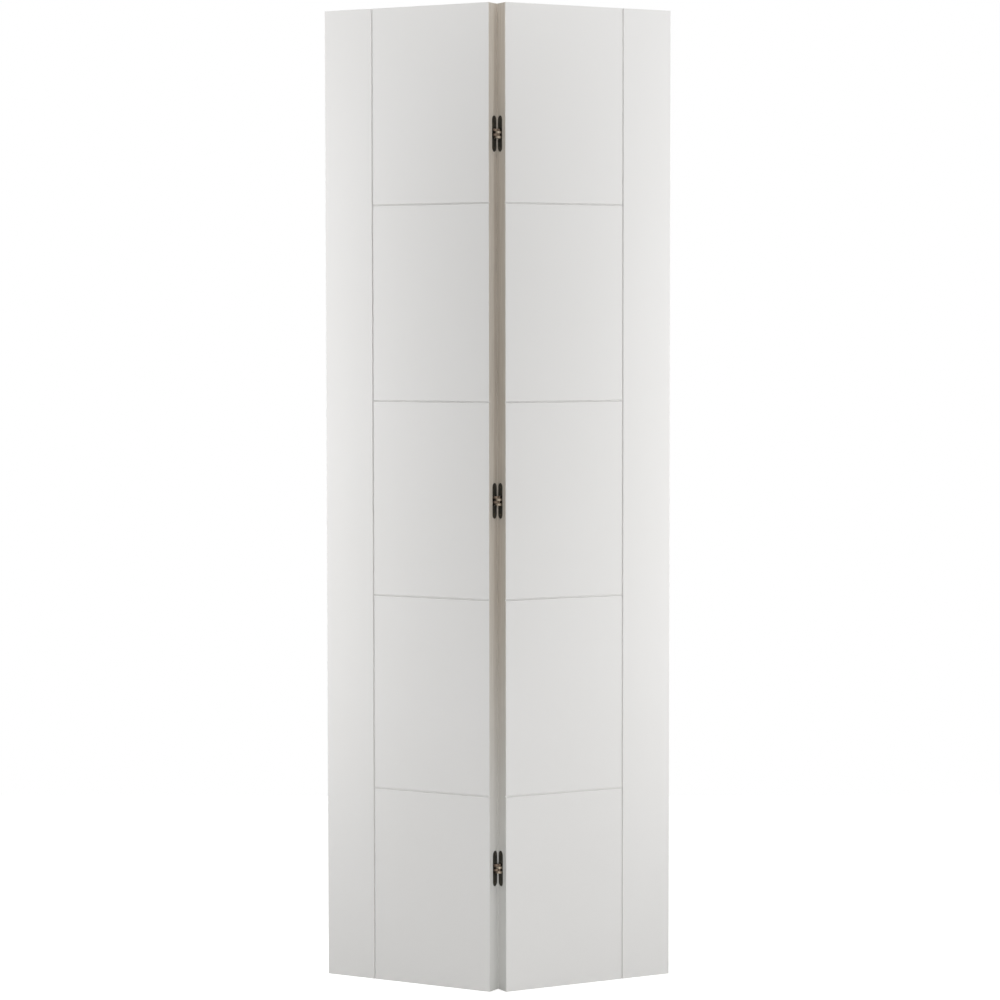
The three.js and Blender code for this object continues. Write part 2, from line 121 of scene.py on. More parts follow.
def add_node(
    tree: bpy.types.NodeTree,
    kind: str,
    settings: dict[str, Any] | None = None,
    inputs: dict[str | int, Any] | None = None,
) -> bpy.types.Node:
    """Adds one shader node with its settings and what feeds its sockets.

    Args:
        tree: The node tree that it goes in.
        kind: The node's type name.
        settings: Attributes of the node and their values.
        inputs: Socket names or numbers, each with a plain value or the output socket that is linked to it.

    Returns:
        The new node.
    """
    node = tree.nodes.new(kind)
    for name, value in (settings or {}).items():
        setattr(node, name, value)
    for name, value in (inputs or {}).items():
        socket = node.inputs[name]
        if isinstance(value, bpy.types.NodeSocket):
            tree.links.new(value, socket)
        else:
            socket.default_value = value
    return node


def new_material(
    name: str,
) -> tuple[bpy.types.Material, bpy.types.NodeTree, bpy.types.Node, bpy.types.NodeSocket]:
    """Starts a material that has a Principled shader on its output.

    Args:
        name: The material's name.

    Returns:
        The material, its node tree, the shader node and the Object coordinates.
    """
    material = bpy.data.materials.new(name)
    material.use_nodes = True
    tree = material.node_tree
    shader = next(node for node in tree.nodes if node.type == "BSDF_PRINCIPLED")
    place = add_node(tree, "ShaderNodeTexCoord").outputs["Object"]
    return material, tree, shader, place


def cell(size_mm: float) -> float:
    """The noise scale, in cells a metre, at which one cell is as wide as this size."""
    return 1 / (size_mm * MM)


@dataclass(frozen=True)
class LeafPlan:
    """A leaf's own plan, in millimetres.

    u runs in from its meeting edge, v from its back face to its front, and z up.
    """

    side: LeafSide
    leaf_angle: float = math.radians(28.1)
    leaf_width: float = 380.8
    thickness: float = 35.0
    fold_gap: float = 0.4
    axis_setback: float = 0.15

    def matrix(self) -> Matrix:
        """Works out where the leaf stands, half the fold's angle back from the plane of the opening.

        Returns:
            The transform from the plan in millimetres to the frame in metres.
        """
        sine, cosine = math.sin(self.leaf_angle), math.cos(self.leaf_angle)
        inward = Vector((-self.side.sign * cosine, sine, 0))
        forward = Vector((-self.side.sign * sine, -cosine, 0))
        reach = self.fold_gap + self.leaf_width
        depth = 2 * self.axis_setback + self.thickness
        centred = Vector((0, -(reach * sine - depth * cosine) / 2, 0))
        corner = centred + inward * self.fold_gap / 2 + forward * self.axis_setback
        turn = Matrix((inward, forward, Vector((0, 0, 1)))).transposed().to_4x4()
        return Matrix.Scale(MM, 4) @ Matrix.Translation(corner) @ turn

    def point(self, place: Vector) -> Vector:
        """A frame point, in metres, as (u, v, z) in millimetres."""
        return self.matrix().inverted() @ place


@dataclass(frozen=True)
class SatinPaint:
    """Satin acrylic paint sprayed on smooth fibreboard."""

    name: str = "satin acrylic paint on fibreboard"
    colour: str = "E6E5E4"
    drift_colour: str = "E2E1DF"
    drift_mm: float = 420.0
    drift_detail: float = 2.0
    peel_mm: float = 1.6
    peel_detail: float = 3.0
    peel_height_mm: float = 0.012
    roughness_low: float = 0.42
    roughness_high: float = 0.52
    ior: float = 1.47

    def build(self) -> bpy.types.Material:
        """Makes the material.

        Returns:
            The new material.
        """
        material, tree, shader, place = new_material(self.name)
        drift = add_node(
            tree,
            "ShaderNodeTexNoise",
            None,
            {"Vector": place, "Scale": cell(self.drift_mm), "Detail": self.drift_detail},
        )
        tone = add_node(
            tree,
            "ShaderNodeMix",
            {"data_type": "RGBA"},
            {"Factor": drift.outputs["Fac"], "A": linear(self.colour), "B": linear(self.drift_colour)},
        )
        peel = add_node(
            tree,
            "ShaderNodeTexNoise",
            None,
            {"Vector": place, "Scale": cell(self.peel_mm), "Detail": self.peel_detail},
        )
        gloss = add_node(
            tree,
            "ShaderNodeMapRange",
            None,
            {"Value": peel.outputs["Fac"], "To Min": self.roughness_low, "To Max": self.roughness_high},
        )
        bump = add_node(
            tree,
            "ShaderNodeBump",
            None,
            {"Height": peel.outputs["Fac"], "Distance": self.peel_height_mm * MM, "Strength": 1.0},
        )
        tree.links.new(tone.outputs["Result"], shader.inputs["Base Color"])
        tree.links.new(gloss.outputs["Result"], shader.inputs["Roughness"])
        tree.links.new(bump.outputs["Normal"], shader.inputs["Normal"])
        shader.inputs["IOR"].default_value = self.ior
        return material


@dataclass(frozen=True)
class PrimedPine:
    """Planed pine under a thin primer, onto which the white paint of the faces may stray, painted paler
    towards the foot as painted bounce light from the floor.
    """

    name: str = "primer on planed pine"
    colour: str = "DDD6CC"
    grain_colour: str = "CEC6BA"
    overspray_colour: str = "E3E4E3"
    grain_mm: float = 1.8
    grain_length_mm: float = 90.0
    grain_detail: float = 4.0
    grain_height_mm: float = 0.03
    grain_from: float = 0.42
    grain_to: float = 0.72
    overspray_mm: float = 1.2
    overspray_wander_mm: float = 1.6
    wander_length_mm: float = 35.0
    wander_detail: float = 3.0
    # Painted light: below these heights the primer is painted paler and more neutral, standing in for light
    # bounced up from the floor
    foot_light_from_mm: float = 950.0
    foot_light_full_mm: float = 120.0
    foot_light_share: float = 0.8
    roughness: float = 0.6
    upright: bool = True

    def build(self, plan: LeafPlan | None = None) -> bpy.types.Material:
        """Makes the material, with its grain along the piece.

        Args:
            plan: The leaf whose skins' paint strays onto the piece, where there is one.

        Returns:
            The new material.
        """
        name = f"{self.name}, {plan.side.body}" if plan else self.name
        material, tree, shader, place = new_material(name)
        across, along = cell(self.grain_mm), cell(self.grain_length_mm)
        stretch = (across, across, along) if self.upright else (along, across, across)
        mapped = add_node(tree, "ShaderNodeMapping", None, {"Vector": place, "Scale": stretch})
        grain = add_node(
            tree,
            "ShaderNodeTexNoise",
            None,
            {"Vector": mapped.outputs["Vector"], "Scale": 1.0, "Detail": self.grain_detail},
        )
        ramp = add_node(
            tree,
            "ShaderNodeMapRange",
            None,
            {"Value": grain.outputs["Fac"], "From Min": self.grain_from, "From Max": self.grain_to},
        )
        tone = add_node(
            tree,
            "ShaderNodeMix",
            {"data_type": "RGBA"},
            {"Factor": ramp.outputs["Result"], "A": linear(self.colour), "B": linear(self.grain_colour)},
        )
        colour = tone.outputs["Result"]
        if plan:
            colour = self._overspray(tree, place, colour, plan)
        bump = add_node(
            tree,
            "ShaderNodeBump",
            None,
            {"Height": grain.outputs["Fac"], "Distance": self.grain_height_mm * MM, "Strength": 1.0},
        )
        tree.links.new(colour, shader.inputs["Base Color"])
        tree.links.new(bump.outputs["Normal"], shader.inputs["Normal"])
        shader.inputs["Roughness"].default_value = self.roughness
        return material

    def _overspray(
        self,
        tree: bpy.types.NodeTree,
        place: bpy.types.NodeSocket,
        tone: bpy.types.NodeSocket,
        plan: LeafPlan,
    ) -> bpy.types.NodeSocket:
        """Lets the faces' white paint stray onto the primer beside the skins, and paints the primer paler
        towards the foot as painted bounce light from the floor.

        Args:
            tree: The node tree.
            place: The Object coordinates.
            tone: The primer's own colour.
            plan: The leaf's plan, which gives the depth below its faces.

        Returns:
            The colour with the stray paint and the painted foot light.
        """
        to_metres = plan.matrix()
        forward = (to_metres.to_3x3() @ Vector((0, 1, 0))).normalized()
        middle = to_metres @ Vector((0, plan.thickness / 2, 0))
        depth = add_node(tree, "ShaderNodeVectorMath", {"operation": "DOT_PRODUCT"}, {0: place, 1: forward})
        from_middle = add_node(
            tree,
            "ShaderNodeMath",
            {"operation": "SUBTRACT"},
            {0: depth.outputs["Value"], 1: middle.dot(forward)},
        )
        wander = add_node(
            tree,
            "ShaderNodeTexNoise",
            None,
            {"Vector": place, "Scale": cell(self.wander_length_mm), "Detail": self.wander_detail},
        )
        strayed = add_node(
            tree,
            "ShaderNodeMath",
            {"operation": "MULTIPLY_ADD"},
            {0: wander.outputs["Fac"], 1: self.overspray_wander_mm * MM, 2: from_middle.outputs[0]},
        )
        edge = (plan.thickness / 2 + self.overspray_wander_mm / 2) * MM
        share = add_node(
            tree,
            "ShaderNodeMapRange",
            {"interpolation_type": "SMOOTHSTEP"},
            {"Value": strayed.outputs[0], "From Min": edge - self.overspray_mm * MM, "From Max": edge},
        )
        # Painted light: the primer turns paler towards the foot, standing in for light bounced up from the
        # floor
        height = add_node(tree, "ShaderNodeSeparateXYZ", None, {"Vector": place})
        painted_foot_light = add_node(
            tree,
            "ShaderNodeMapRange",
            {"interpolation_type": "SMOOTHSTEP"},
            {
                "Value": height.outputs["Z"],
                "From Min": self.foot_light_full_mm * MM,
                "From Max": self.foot_light_from_mm * MM,
                "To Min": self.foot_light_share,
                "To Max": 0.0,
            },
        )
        overspray_and_foot_light = add_node(
            tree,
            "ShaderNodeMath",
            {"operation": "MAXIMUM"},
            {0: share.outputs["Result"], 1: painted_foot_light.outputs["Result"]},
        )
        mix = add_node(
            tree,
            "ShaderNodeMix",
            {"data_type": "RGBA"},
            {"Factor": overspray_and_foot_light.outputs[0], "A": tone, "B": linear(self.overspray_colour)},
        )
        return mix.outputs["Result"]


@dataclass(frozen=True)
class RawChipboard:
    """Pressed chipboard, unfinished."""

    name: str = "raw pressed chipboard"
    flake_colour: str = "CDB083"
    dark_colour: str = "8F6E42"
    flake_mm: float = 4.0
    flake_height_mm: float = 0.2
    flake_strength: float = 0.6
    roughness: float = 0.9

    def build(self) -> bpy.types.Material:
        """Makes the material.

        Returns:
            The new material.
        """
        material, tree, shader, place = new_material(self.name)
        flakes = add_node(
            tree,
            "ShaderNodeTexVoronoi",
            None,
            {"Vector": place, "Scale": cell(self.flake_mm), "Randomness": 1.0},
        )
        depth = flakes.outputs["Distance"]
        tone = add_node(
            tree,
            "ShaderNodeMix",
            {"data_type": "RGBA"},
            {"Factor": depth, "A": linear(self.flake_colour), "B": linear(self.dark_colour)},
        )
        bump = add_node(
            tree,
            "ShaderNodeBump",
            None,
            {"Height": depth, "Distance": self.flake_height_mm * MM, "Strength": self.flake_strength},
        )
        tree.links.new(tone.outputs["Result"], shader.inputs["Base Color"])
        tree.links.new(bump.outputs["Normal"], shader.inputs["Normal"])
        shader.inputs["Roughness"].default_value = self.roughness
        return material


@dataclass(frozen=True)
class PlatedMetal:
    """Cast, stamped or turned metal with fine pits, and patches where its finish is rubbed."""

    name: str
    colour: str
    worn_colour: str
    metallic: float
    roughness_low: float
    roughness_high: float
    pit_mm: float = 0.7
    pit_detail: float = 2.0
    pit_height_mm: float = 0.02
    worn_mm: float = 6.0
    worn_detail: float = 5.0
    worn_from: float = 0.55
    worn_to: float = 0.75

    def build(self) -> bpy.types.Material:
        """Makes the material.

        Returns:
            The new material.
        """
        material, tree, shader, place = new_material(self.name)
        worn = add_node(
            tree,
            "ShaderNodeTexNoise",
            None,
            {"Vector": place, "Scale": cell(self.worn_mm), "Detail": self.worn_detail},
        )
        patch = add_node(
            tree,
            "ShaderNodeMapRange",
            None,
            {"Value": worn.outputs["Fac"], "From Min": self.worn_from, "From Max": self.worn_to},
        )
        tone = add_node(
            tree,
            "ShaderNodeMix",
            {"data_type": "RGBA"},
            {"Factor": patch.outputs["Result"], "A": linear(self.colour), "B": linear(self.worn_colour)},
        )
        pits = add_node(
            tree,
            "ShaderNodeTexNoise",
            None,
            {"Vector": place, "Scale": cell(self.pit_mm), "Detail": self.pit_detail},
        )
        gloss = add_node(
            tree,
            "ShaderNodeMapRange",
            None,
            {"Value": worn.outputs["Fac"], "To Min": self.roughness_low, "To Max": self.roughness_high},
        )
        bump = add_node(
            tree,
            "ShaderNodeBump",
            None,
            {"Height": pits.outputs["Fac"], "Distance": self.pit_height_mm * MM, "Strength": 1.0},
        )
        tree.links.new(tone.outputs["Result"], shader.inputs["Base Color"])
        tree.links.new(gloss.outputs["Result"], shader.inputs["Roughness"])
        tree.links.new(bump.outputs["Normal"], shader.inputs["Normal"])
        shader.inputs["Metallic"].default_value = self.metallic
        return material


# Satin paint on fibreboard gives an even, soft white, with a faint peel and slow drifts of tone
FACE_PAINT = SatinPaint()
# Thin primer on planed pine gives a warm grey, in which the upright grain just shows as fine ridges
STILE_PRIMER = PrimedPine()
# The rails' grain runs level
RAIL_PRIMER = PrimedPine(name="primer on planed pine, grain level", upright=False)
# Pressed chipboard gives pale and dark flakes, a few millimetres long
CORE_BOARD = RawChipboard()
# Zinc casting under dark bronze lacquer gives a dark greenish grey, with a brown rub here and there
DARK_BRONZE = PlatedMetal(
    name="dark bronze lacquer on die-cast zinc",
    colour="45443D",
    worn_colour="5E5648",
    metallic=0.3,
    roughness_low=0.42,
    roughness_high=0.55,
)
# The pivot leaf's links: bronze-plated steel, painted a lighter dull beige than the lead leaf's as painted
# reflected light
LINK_BRONZE_PAINTED_LIT = PlatedMetal(
    name="bronze plating on pressed steel, painted lighter as if lit",
    colour="8E8273",
    worn_colour="9C9383",
    metallic=0.8,
    roughness_low=0.3,
    roughness_high=0.45,
    worn_from=0.4,
)
# The lead leaf's links: the same bronze plating, painted a darker brown as painted shade and darker
# reflection
LINK_BRONZE_PAINTED_SHADED = PlatedMetal(
    name="bronze plating on pressed steel",
    colour="695B4F",
    worn_colour="847461",
    metallic=0.8,
    roughness_low=0.35,
    roughness_high=0.5,
    worn_from=0.5,
)
# Ground steel pins give a plain bright grey, a little darker in patches
GROUND_STEEL = PlatedMetal(
    name="ground steel",
    colour="A5A29A",
    worn_colour="8D8A82",
    metallic=1.0,
    roughness_low=0.2,
    roughness_high=0.35,
)
# The screws have the plates' lacquer, rubbed brown by the driver
BRONZE_SCREW = PlatedMetal(
    name="dark bronze lacquer on screw steel",
    colour="4A4238",
    worn_colour="857762",
    metallic=0.85,
    roughness_low=0.3,
    roughness_high=0.45,
    worn_from=0.45,
)


@dataclass(frozen=True)
class Finishes:
    """The materials that the pieces share, each built once."""

    paint: bpy.types.Material
    stile_primers: dict[LeafSide, bpy.types.Material]
    rail_primer: bpy.types.Material
    chipboard: bpy.types.Material
    bronze: bpy.types.Material
    # The links' one bronze plating as a lighter and a darker copy, which paint light and shade on the two
    # leaves' links
    link_bronzes: dict[LeafSide, bpy.types.Material]
    steel: bpy.types.Material
    screw_bronze: bpy.types.Material

    @classmethod
    def build(cls) -> Finishes:
        """Makes every material of the door.

        Returns:
            The door's finishes.
        """
        return cls(
            paint=FACE_PAINT.build(),
            stile_primers={side: STILE_PRIMER.build(LeafPlan(side)) for side in LeafSide},
            rail_primer=RAIL_PRIMER.build(),
            chipboard=CORE_BOARD.build(),
            bronze=DARK_BRONZE.build(),
            link_bronzes={LeafSide.PIVOT: LINK_BRONZE_PAINTED_LIT.build(), LeafSide.LEAD: LINK_BRONZE_PAINTED_SHADED.build()},
            steel=GROUND_STEEL.build(),
            screw_bronze=BRONZE_SCREW.build(),
        )


def finished_piece(
    shape: bmesh.types.BMesh, name: str, material: bpy.types.Material, body: str, node: str
) -> bpy.types.Object:
    """Turns a shape into a piece that rides on a body and stands for a frame node.

    The flat faces of a piece that is shaded smooth all over lead its normals.

    Args:
        shape: The finished shape, in frame coordinates; it is freed.
        name: The piece's name.
        material: Its material.
        body: The body that carries it.
        node: The frame node that it stands for.

    Returns:
        The new object.
    """
    mesh = bpy.data.meshes.new(name)
    smooth_all_over = all(face.smooth for face in shape.faces)
    shape.to_mesh(mesh)
    shape.free()
    if CARRIED_NORMALS in mesh.attributes:
        mesh.attributes.remove(mesh.attributes[CARRIED_NORMALS])
    mesh.materials.append(material)
    piece = bpy.data.objects.new(name, mesh)
    bpy.context.scene.collection.objects.link(piece)
    if smooth_all_over:
        mesh.set_sharp_from_angle(angle=CREASE_ANGLE)
        weigh = piece.modifiers.new("flat faces lead", "WEIGHTED_NORMAL")
        weigh.keep_sharp = True
    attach(piece, body)
    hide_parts(node)
    LOG.info("%s stands for %s", name, node)
    return piece


def eased_copy(
    node: bpy.types.Object, offset_mm: float, segments: int, chosen: Callable[[bmesh.types.BMEdge], bool]
) -> bmesh.types.BMesh:
    """Copies a frame node's mesh and rounds its chosen sharp edges, which alone are shaded smooth.

    Args:
        node: The frame node's object.
        offset_mm: How far the rounding reaches from each edge.
        segments: Facets across each rounding.
        chosen: Says which of the sharp edges are rounded.

    Returns:
        The new shape, in frame coordinates.
    """
    shape = bmesh.new()
    shape.from_mesh(node.data)
    bmesh.ops.remove_doubles(shape, verts=shape.verts, dist=JOIN_MM * MM)
    bmesh.ops.dissolve_limit(
        shape,
        angle_limit=COPLANAR_ANGLE,
        verts=shape.verts,
        edges=shape.edges,
        use_dissolve_boundaries=False,
    )
    for face in shape.faces:
        face.smooth = False
    sharp = [edge for edge in shape.edges if edge.calc_face_angle(0) > ARRIS_ANGLE and chosen(edge)]
    rounded = bmesh.ops.bevel(
        shape,
        geom=sharp,
        offset=offset_mm * MM,
        offset_type="OFFSET",
        segments=segments,
        profile=0.5,
        affect="EDGES",
        clamp_overlap=True,
        material=-1,
    )
    for face in rounded["faces"]:
        width = face.calc_area() / max(edge.calc_length() for edge in face.edges)
        face.smooth = width < offset_mm * MM
    return shape


def smooth(shape: bmesh.types.BMesh) -> bmesh.types.BMesh:
    """Shades every face of a round or tumbled shape smooth.

    Args:
        shape: The shape, changed in place.

    Returns:
        The same shape.
    """
    for face in shape.faces:
        face.smooth = True
    return shape


def dress(node: bpy.types.Object, material: bpy.types.Material) -> None:
    """Gives a frame node that stays in view its material.

    Args:
        node: The frame node's object.
        material: Its material.
    """
    node.data.materials.clear()
    node.data.materials.append(material)
    LOG.info("%s is dressed in %s", node.name, material.name)


@dataclass
class Leaf:
    """One leaf: two grooved skins over a pine frame and a board core."""

    plan: LeafPlan
    nodes: dict[str, bpy.types.Object]
    finishes: Finishes
    # The cross grooves: depth, reach up and down, pitch, and how far from the corner the back's end
    groove_depth: float = 3.0
    groove_reach: float = 3.0
    panel_pitch: float = 396.2
    run_out: float = 6.0
    # How far the edges are rounded
    skin_ease: float = 0.2
    mortise_ease: float = 0.7
    ease_segments: int = 3
    # A corner this near to a face or an edge of the plan counts as lying on it
    near: float = 0.3
    # The share of the way to the fold's axis that the back's meeting corners reach
    lip: float = 0.9

    def build(self) -> None:
        """Makes the skins and the hinge stile, and dresses the rest."""
        body = self.plan.side.body
        self._skin("front_skin", lambda v: v > self.plan.thickness - self.groove_depth - self.near)
        self._skin("back_skin", lambda v: v < self.groove_depth + self.near)
        self._hinge_stile()
        dress(self.nodes[f"{body}_outer_stile"], self.finishes.stile_primers[self.plan.side])
        dress(self.nodes[f"{body}_top_rail"], self.finishes.rail_primer)
        dress(self.nodes[f"{body}_bottom_rail"], self.finishes.rail_primer)
        dress(self.nodes[f"{body}_core"], self.finishes.chipboard)

    def _skin(self, kind: str, outside: Callable[[float], bool]) -> None:
        """Makes one skin with eased arrises and groove lips.

        Args:
            kind: The node's name without its leaf.
            outside: Says whether a v is in the skin's outer part, where its edges are eased.
        """
        node = f"{self.plan.side.body}_{kind}"

        def on_face(edge: bmesh.types.BMEdge) -> bool:
            """Tells the edges that are eased from those inside and from the corner beside the fold's axis.

            Args:
                edge: An edge of the skin.

            Returns:
                Whether it is eased.
            """
            places = [self.plan.point(vert.co) for vert in edge.verts]
            beside_axis = all(max(abs(place.x), abs(place.y)) < self.near for place in places)
            return all(outside(place.y) for place in places) and not beside_axis

        shape = eased_copy(self.nodes[node], self.skin_ease, self.ease_segments, on_face)
        # The board's own edge in the fold is primed like the stile between the boards
        for face in shape.faces:
            if all(self.plan.point(vert.co).x < self.near for vert in face.verts):
                face.material_index = 1
        if kind == "back_skin":
            self._run_out(shape)
        for vert in shape.verts:
            place = self.plan.point(vert.co)
            if max(abs(place.x), abs(place.y)) < self.near:
                to_axis = (-self.lip * self.plan.fold_gap / 2, -self.lip * self.plan.axis_setback)
                vert.co = self.plan.matrix() @ Vector((*to_axis, place.z))
        board = finished_piece(
            shape, f"{node}_board", self.finishes.paint, self.plan.side.body, node
        )
        board.data.materials.append(self.finishes.stile_primers[self.plan.side])

    def _run_out(self, shape: bmesh.types.BMesh) -> None:
        """Lets the back's cross grooves run out before the meeting corner, where light would show through.

        Args:
            shape: The back skin, changed in place.
        """
        plan = self.plan.matrix()
        bmesh.ops.bisect_plane(
            shape,
            geom=[*shape.verts, *shape.edges, *shape.faces],
            plane_co=plan @ Vector((self.run_out, 0.0, 0.0)),
            plane_no=(plan.to_3x3() @ Vector((1.0, 0.0, 0.0))).normalized(),
        )
        for vert in shape.verts:
            place = self.plan.point(vert.co)
            in_corner = place.x < self.near and place.y < self.groove_depth + self.near
            from_groove = abs(math.remainder(place.z, self.panel_pitch))
            if in_corner and from_groove < self.groove_reach:
                vert.co = plan @ Vector((place.x, 0.0, place.z))

    def _hinge_stile(self) -> None:
        """Makes the hinge stile with its mortises' mouths eased."""
        node = f"{self.plan.side.body}_hinge_stile"
        low, high = (self._depth_range(node, pick) for pick in (min, max))

        def on_mouth(edge: bmesh.types.BMEdge) -> bool:
            """Tells the rims of the mortises from the meeting edge's own arrises.

            Args:
                edge: An edge of the stile.

            Returns:
                Whether it rims a mortise.
            """
            places = [self.plan.point(vert.co) for vert in edge.verts]
            outside = any(place.y < low + self.near or place.y > high - self.near for place in places)
            return all(place.x < self.near for place in places) and not outside

        shape = eased_copy(self.nodes[node], self.mortise_ease, self.ease_segments, on_mouth)
        finished_piece(
            shape,
            f"{node}_planed",
            self.finishes.stile_primers[self.plan.side],
            self.plan.side.body,
            node,
        )

    def _depth_range(self, node: str, pick: Callable[[Iterable[float]], float]) -> float:
        """The least or greatest v of a frame node, in millimetres."""
        return pick(self.plan.point(vert.co).y for vert in self.nodes[node].data.vertices)


@dataclass
class WoodScrew:
    """A countersunk wood screw with a cross recess, its axis along u and its head at the meeting edge."""

    sink: float = 0.2
    head_radius: float = 3.6
    head_rim: float = 0.25
    head_height: float = 2.2
    shank_radius: float = 1.6
    length: float = 22.0
    point_length: float = 4.0
    recess_half_width: float = 0.45
    recess_reach: float = 2.0
    recess_depth: float = 1.5
    steps: int = 32

    def shape(self) -> bmesh.types.BMesh:
        """Makes the screw at the plan's origin.

        Returns:
            The shape, in millimetres.
        """
        screw = bmesh.new()
        profile = [
            (self.sink, 0.0),
            (self.sink, self.head_radius - self.head_rim),
            (self.sink + self.head_rim, self.head_radius),
            (self.sink + self.head_height, self.shank_radius),
            (self.length - self.point_length, self.shank_radius),
            (self.length, 0.0),
        ]
        verts = [screw.verts.new((along, radius, 0)) for along, radius in profile]
        edges = [screw.edges.new(pair) for pair in zip(verts, verts[1:])]
        bmesh.ops.spin(
            screw,
            geom=verts + edges,
            cent=(0, 0, 0),
            axis=(1, 0, 0),
            angle=math.tau,
            steps=self.steps,
            use_merge=True,
        )
        bmesh.ops.remove_doubles(screw, verts=screw.verts, dist=self.head_rim / self.steps)
        bmesh.ops.recalc_face_normals(screw, faces=screw.faces)
        return carved(screw, [self._recess_wing(0), self._recess_wing(math.pi / 2)])

    def _recess_wing(self, turn: float) -> bmesh.types.BMesh:
        """Makes the cutter for one wing pair of the cross recess, which tapers as it goes in.

        Args:
            turn: The wing's angle about the screw's axis.

        Returns:
            The cutter, in millimetres.
        """
        wing = bmesh.new()
        reach = 2 * self.recess_reach
        size = Matrix.Diagonal((2 * self.recess_depth, 2 * self.recess_half_width, reach, 1))
        bmesh.ops.create_cube(wing, size=1, matrix=Matrix.Translation((self.sink, 0, 0)) @ size)
        inner = [vert for vert in wing.verts if vert.co.x > self.sink]
        bmesh.ops.scale(wing, vec=(1, 1, self.recess_half_width / self.recess_reach), verts=inner)
        bmesh.ops.rotate(wing, cent=(0, 0, 0), matrix=Matrix.Rotation(turn, 3, "X"), verts=wing.verts)
        return wing


def loose_object(shape: bmesh.types.BMesh, name: str) -> bpy.types.Object:
    """Puts a shape into an object that is no piece of the door.

    Args:
        shape: The shape; it is freed.
        name: The object's name.

    Returns:
        The new object.
    """
    mesh = bpy.data.meshes.new(name)
    shape.to_mesh(mesh)
    shape.free()
    scratch = bpy.data.objects.new(name, mesh)
    bpy.context.scene.collection.objects.link(scratch)
    return scratch


def carved(shape: bmesh.types.BMesh, cutters: list[bmesh.types.BMesh]) -> bmesh.types.BMesh:
    """Cuts closed shapes out of another.

    Args:
        shape: The shape that is cut; it is freed.
        cutters: What is taken away; they are freed too.

    Returns:
        The cut shape.
    """
    blank = loose_object(shape, "blank")
    tools = [loose_object(cutter, "cutter") for cutter in cutters]
    for tool in tools:
        cut = blank.modifiers.new("cut", "BOOLEAN")
        cut.operation = "DIFFERENCE"
        cut.solver = "EXACT"
        cut.object = tool
    result = bmesh.new()
    result.from_object(blank, bpy.context.evaluated_depsgraph_get())
    for scratch in [blank, *tools]:
        mesh = scratch.data
        bpy.data.objects.remove(scratch)
        bpy.data.meshes.remove(mesh)
    return result


@dataclass
class ConcealedHinge:
    """One concealed link hinge: a centre pin, and in each leaf a body, its screws, links and their pins."""

    place: HingePlace
    nodes: dict[str, bpy.types.Object]
    finishes: Finishes
    body_ease: float = 0.3
    link_ease: float = 0.35
    ease_segments: int = 3
    pin_chamfer: float = 0.25
    pin_sides: int = 32
    screw: WoodScrew = field(default_factory=WoodScrew)

    def build(self) -> None:
        """Makes the hinge's pieces."""
        for side in LeafSide:
            start = f"{self.place.value}_{side.own}"
            self._tumbled(f"{start}_body", self.body_ease, self.finishes.bronze, side.body)
            for level in ("upper", "lower"):
                # Each leaf's links take the lighter or the darker copy of one bronze plating: painted light
                # and shade
                plating = self.finishes.link_bronzes[side]
                self._tumbled(f"{start}_{level}_link", self.link_ease, plating, side.arms)
                self._screw(f"{start}_{level}_screw", side)
            self._pin(f"{start}_pivot_pin", side.body)
            self._pin(f"{start}_slider_pin", side.arms)
        self._pin(f"{self.place.value}_centre_pin", LeafSide.PIVOT.arms)

    def _tumbled(self, node: str, ease: float, material: bpy.types.Material, body: str) -> None:
        """Makes a metal piece from its node with every sharp edge eased.

        Args:
            node: The frame node.
            ease: How far the rounding reaches, in millimetres.
            material: The piece's material.
            body: The body that carries it.
        """
        shape = eased_copy(self.nodes[node], ease, self.ease_segments, lambda edge: True)
        finished_piece(smooth(shape), f"{node}_finished", material, body, node)

    def _pin(self, node: str, body: str) -> None:
        """Makes a round pin with chamfered ends where its node stands.

        Args:
            node: The frame node.
            body: The body that carries it.
        """
        low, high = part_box(node)
        radius = (high.x - low.x) / 2
        pin = bmesh.new()
        bmesh.ops.create_cone(
            pin,
            cap_ends=True,
            segments=self.pin_sides,
            radius1=radius,
            radius2=radius,
            depth=high.z - low.z,
            matrix=Matrix.Translation((low + high) / 2),
        )
        rims = [edge for edge in pin.edges if abs(edge.verts[0].co.z - edge.verts[1].co.z) < JOIN_MM * MM]
        bmesh.ops.bevel(
            pin,
            geom=rims,
            offset=self.pin_chamfer * MM,
            segments=1,
            profile=0.5,
            affect="EDGES",
            material=-1,
        )
        finished_piece(smooth(pin), f"{node}_turned", self.finishes.steel, body, node)

    def _screw(self, node: str, side: LeafSide) -> None:
        """Makes a wood screw where its node stands.

        Args:
            node: The frame node.
            side: The leaf that it is driven into.
        """
        plan = LeafPlan(side)
        low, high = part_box(node)
        centre = plan.point((low + high) / 2)
        shape = self.screw.shape()
        bmesh.ops.translate(shape, vec=(0, centre.y, centre.z), verts=shape.verts)
        bmesh.ops.transform(shape, matrix=plan.matrix(), verts=shape.verts)
        bmesh.ops.recalc_face_normals(shape, faces=shape.faces)
        lacquer = self.finishes.screw_bronze
        finished_piece(smooth(shape), f"{node}_driven", lacquer, side.body, node)


@dataclass(frozen=True)
class SoftBox:
    """One soft rectangular lamp: where its middle is, what it points at, its size and its power."""

    name: str
    place_m: tuple[float, float, float]
    target_m: tuple[float, float, float]
    width_m: float
    height_m: float
    watts: float
    colour: str = WHITE

    def build(self) -> None:
        """Makes the lamp."""
        lamp = bpy.data.lights.new(self.name, "AREA")
        lamp.shape = "RECTANGLE"
        lamp.size = self.width_m
        lamp.size_y = self.height_m
        lamp.energy = self.watts
        lamp.color = linear(self.colour)[:3]
        holder = bpy.data.objects.new(self.name, lamp)
        holder.location = self.place_m
        aim = Vector(self.target_m) - Vector(self.place_m)
        holder.rotation_euler = aim.to_track_quat("-Z", "Y").to_euler()
        holder.visible_camera = False
        bpy.context.scene.collection.objects.link(holder)


